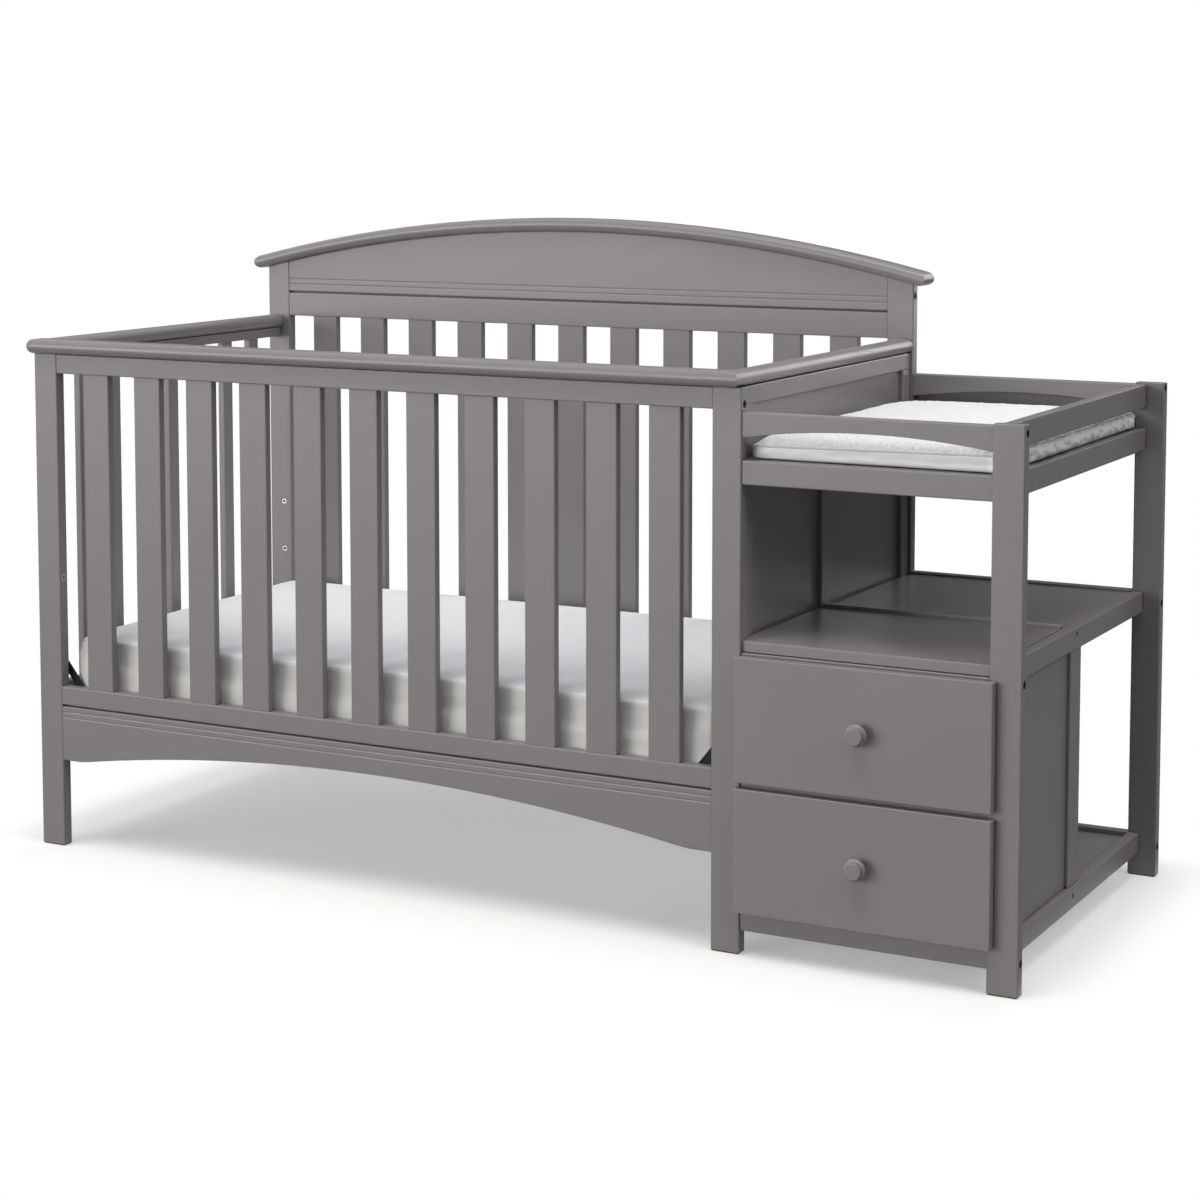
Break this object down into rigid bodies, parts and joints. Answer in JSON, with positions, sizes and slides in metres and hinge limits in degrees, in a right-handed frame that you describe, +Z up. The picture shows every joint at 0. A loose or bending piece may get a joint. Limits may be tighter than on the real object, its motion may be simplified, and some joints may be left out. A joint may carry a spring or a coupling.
{
  "type": "crib with attached changer",
  "caption": "Slatted baby crib with an arched headboard, joined to a changing table with a padded top, an open shelf and drawers below.",
  "frame": {"origin": "on the floor, below the middle of the whole object's box", "axes": "+Z up, +X from the crib towards the changer, +Y from the front towards the headboard"},
  "size_m": [1.928, 0.834, 1.1579],
  "materials": {
    "grey_paint": "satin warm grey paint",
    "black_steel": "satin black",
    "zinc_steel": "zinc plated",
    "mattress_cover": "white ticking",
    "terry_cover": "white terry",
    "drawer_wood": "clear lacquer",
    "beech": "bare"
  },
  "bodies": {
    "frame": {"front_left_post": "grey_paint", "front_right_post": "grey_paint", "front_cap": "grey_paint", "front_top_rail": "grey_paint", "front_slats": "grey_paint", "front_bottom_rail": "grey_paint", "front_apron": "grey_paint", "headboard_left_post": "grey_paint", "headboard_right_post": "grey_paint", "headboard_cap": "grey_paint", "headboard_panel": "grey_paint", "headboard_rail": "grey_paint", "headboard_slats": "grey_paint", "headboard_bottom_rail": "grey_paint", "left_end_cap": "grey_paint", "left_end_rails": "grey_paint", "left_end_slats": "grey_paint", "right_end_cap": "grey_paint", "right_end_rails": "grey_paint", "right_end_stiles": "grey_paint", "right_end_panels": "grey_paint", "changer_front_post": "grey_paint", "changer_back_post": "grey_paint", "front_guard": "grey_paint", "side_guard": "grey_paint", "back_guard": "grey_paint", "front_deck_rail": "grey_paint", "side_deck_rail": "grey_paint", "back_deck_rail": "grey_paint", "changer_deck": "grey_paint", "shelf_front_board": "grey_paint", "shelf_back_board": "grey_paint", "side_shelf_rail": "grey_paint", "back_shelf_rail": "grey_paint", "base_front_rail": "grey_paint", "base_side_rail": "grey_paint", "base_back_rail": "grey_paint", "base_shelf": "grey_paint", "case_rails": "grey_paint", "case_side_panel": "grey_paint", "case_stile": "grey_paint", "case_back_panel": "grey_paint", "case_battens": "grey_paint", "fixed_runners": "zinc_steel", "frame_bolts": "black_steel", "threaded_inserts": "zinc_steel", "dowels": "beech"},
    "mattress_support": {"support_frame": "black_steel", "support_mesh": "zinc_steel", "support_hangers": "black_steel"},
    "mattress": {"mattress": "mattress_cover"},
    "changing_pad": {"changing_pad": "terry_cover"},
    "upper_drawer": {"upper_drawer_front": "grey_paint", "upper_drawer_box": "drawer_wood", "upper_drawer_knob": "grey_paint", "upper_drawer_runners": "zinc_steel"},
    "lower_drawer": {"lower_drawer_front": "grey_paint", "lower_drawer_box": "drawer_wood", "lower_drawer_knob": "grey_paint", "lower_drawer_runners": "zinc_steel"}
  },
  "joints": [
    {"name": "upper_drawer_slide", "type": "slide", "parent": "frame", "child": "upper_drawer", "axis": [0, -1, 0], "range_m": [0, 0.24]},
    {"name": "lower_drawer_slide", "type": "slide", "parent": "frame", "child": "lower_drawer", "axis": [0, -1, 0], "range_m": [0, 0.24]},
    {"name": "mattress_support_height", "type": "slide", "parent": "frame", "child": "mattress_support", "axis": [0, 0, 1], "range_m": [0, 0.2]},
    {"name": "mattress_lift", "type": "slide", "parent": "mattress_support", "child": "mattress", "axis": [0, 0, 1], "range_m": [0, 0.3]},
    {"name": "changing_pad_lift", "type": "slide", "parent": "frame", "child": "changing_pad", "axis": [0, 0, 1], "range_m": [0, 0.2]}
  ]
}
